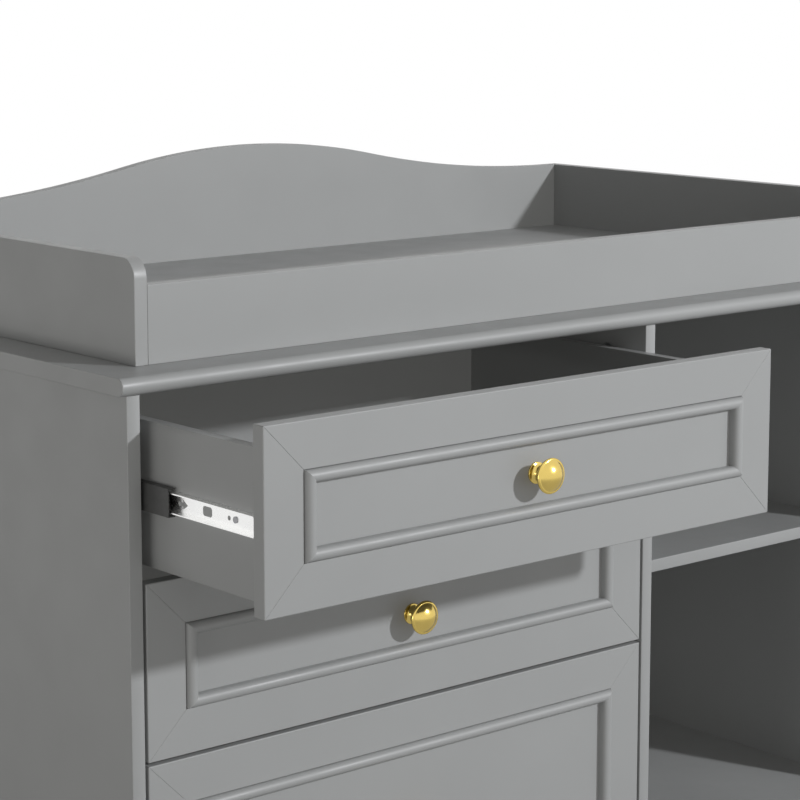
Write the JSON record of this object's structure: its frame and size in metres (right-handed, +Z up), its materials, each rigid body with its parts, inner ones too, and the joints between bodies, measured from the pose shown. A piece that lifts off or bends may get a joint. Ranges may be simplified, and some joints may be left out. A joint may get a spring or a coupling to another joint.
{
  "type": "changing table",
  "caption": "Painted dresser with drawers, an open shelf bay, and a wave-backed changing tray on its cap board.",
  "frame": {"origin": "centre of the base of the whole part's bounding box on the floor, with the top drawer standing open 188 mm as modelled; the cabinet's own centre line is at x = 0", "axes": "+X to the right of someone facing the drawers, +Y towards the wall behind, +Z up"},
  "size_m": [1.187, 0.8076, 0.9375],
  "materials": {
    "painted_board": "satin grey paint on fibreboard",
    "drawer_box_board": "satin grey foil on fibreboard",
    "back_sheet_paint": "matt grey paint on hardboard",
    "knob_brass": "polished",
    "bright_steel": "bright zinc plate",
    "screw_steel": "zinc plated",
    "cam_zinc": "die-cast, satin",
    "dowel_beech": "bare beech",
    "glide_plastic": "moulded"
  },
  "bodies": {
    "cabinet": {"left_side_panel": "painted_board", "right_side_panel": "painted_board", "divider_panel": "painted_board", "cap_board": "painted_board", "bottom_board": "painted_board", "back_sheet": "back_sheet_paint", "shelf_board": "painted_board", "front_base_rail": "painted_board", "rear_base_rail": "painted_board", "centre_base_rail": "painted_board", "tray_left_side": "painted_board", "tray_right_side": "painted_board", "tray_front_rail": "painted_board", "tray_back_panel": "painted_board", "tray_bottom_board": "painted_board", "floor_glides": "glide_plastic", "shelf_pins": "bright_steel", "cam_bolts": "bright_steel", "cam_discs": "cam_zinc", "panel_dowels": "dowel_beech", "back_sheet_screws": "screw_steel", "tray_screws": "screw_steel", "slide_fixed_members": "bright_steel", "slide_fixed_screws": "screw_steel"},
    "top_drawer": {"top_drawer_front_frame": "painted_board", "top_drawer_front_bead": "painted_board", "top_drawer_front_panel": "painted_board", "top_drawer_box_sides": "drawer_box_board", "top_drawer_box_back": "drawer_box_board", "top_drawer_box_bottom": "drawer_box_board", "top_drawer_knob": "knob_brass", "top_drawer_knob_screw": "screw_steel", "top_drawer_box_screws": "screw_steel", "top_drawer_cam_fixings": "cam_zinc", "top_drawer_slide_inner": "bright_steel"},
    "top_slide_middle": {"top_drawer_slide_middle": "bright_steel"},
    "middle_drawer": {"middle_drawer_front_frame": "painted_board", "middle_drawer_front_bead": "painted_board", "middle_drawer_front_panel": "painted_board", "middle_drawer_box_sides": "drawer_box_board", "middle_drawer_box_back": "drawer_box_board", "middle_drawer_box_bottom": "drawer_box_board", "middle_drawer_knob": "knob_brass", "middle_drawer_knob_screw": "screw_steel", "middle_drawer_box_screws": "screw_steel", "middle_drawer_cam_fixings": "cam_zinc", "middle_drawer_slide_inner": "bright_steel"},
    "middle_slide_middle": {"middle_drawer_slide_middle": "bright_steel"},
    "bottom_drawer": {"bottom_drawer_front_frame": "painted_board", "bottom_drawer_front_bead": "painted_board", "bottom_drawer_front_panel": "painted_board", "bottom_drawer_box_sides": "drawer_box_board", "bottom_drawer_box_back": "drawer_box_board", "bottom_drawer_box_bottom": "drawer_box_board", "bottom_drawer_knob": "knob_brass", "bottom_drawer_knob_screw": "screw_steel", "bottom_drawer_box_screws": "screw_steel", "bottom_drawer_cam_fixings": "cam_zinc", "bottom_drawer_slide_inner": "bright_steel"},
    "bottom_slide_middle": {"bottom_drawer_slide_middle": "bright_steel"}
  },
  "joints": [
    {"name": "top_drawer_slide", "type": "slide", "parent": "cabinet", "child": "top_drawer", "axis": [0, -1, 0], "range_m": [-0.188, 0.212]},
    {"name": "top_slide_middle_travel", "type": "slide", "parent": "cabinet", "child": "top_slide_middle", "axis": [0, -1, 0], "range_m": [-0.094, 0.106]},
    {"name": "middle_drawer_slide", "type": "slide", "parent": "cabinet", "child": "middle_drawer", "axis": [0, -1, 0], "range_m": [0, 0.4]},
    {"name": "middle_slide_middle_travel", "type": "slide", "parent": "cabinet", "child": "middle_slide_middle", "axis": [0, -1, 0], "range_m": [0, 0.2]},
    {"name": "bottom_drawer_slide", "type": "slide", "parent": "cabinet", "child": "bottom_drawer", "axis": [0, -1, 0], "range_m": [0, 0.4]},
    {"name": "bottom_slide_middle_travel", "type": "slide", "parent": "cabinet", "child": "bottom_slide_middle", "axis": [0, -1, 0], "range_m": [0, 0.2]}
  ],
  "couplings": [
    {"joint": "top_slide_middle_travel", "follows": "top_drawer_slide", "ratio": 0.5},
    {"joint": "middle_slide_middle_travel", "follows": "middle_drawer_slide", "ratio": 0.5},
    {"joint": "bottom_slide_middle_travel", "follows": "bottom_drawer_slide", "ratio": 0.5}
  ]
}
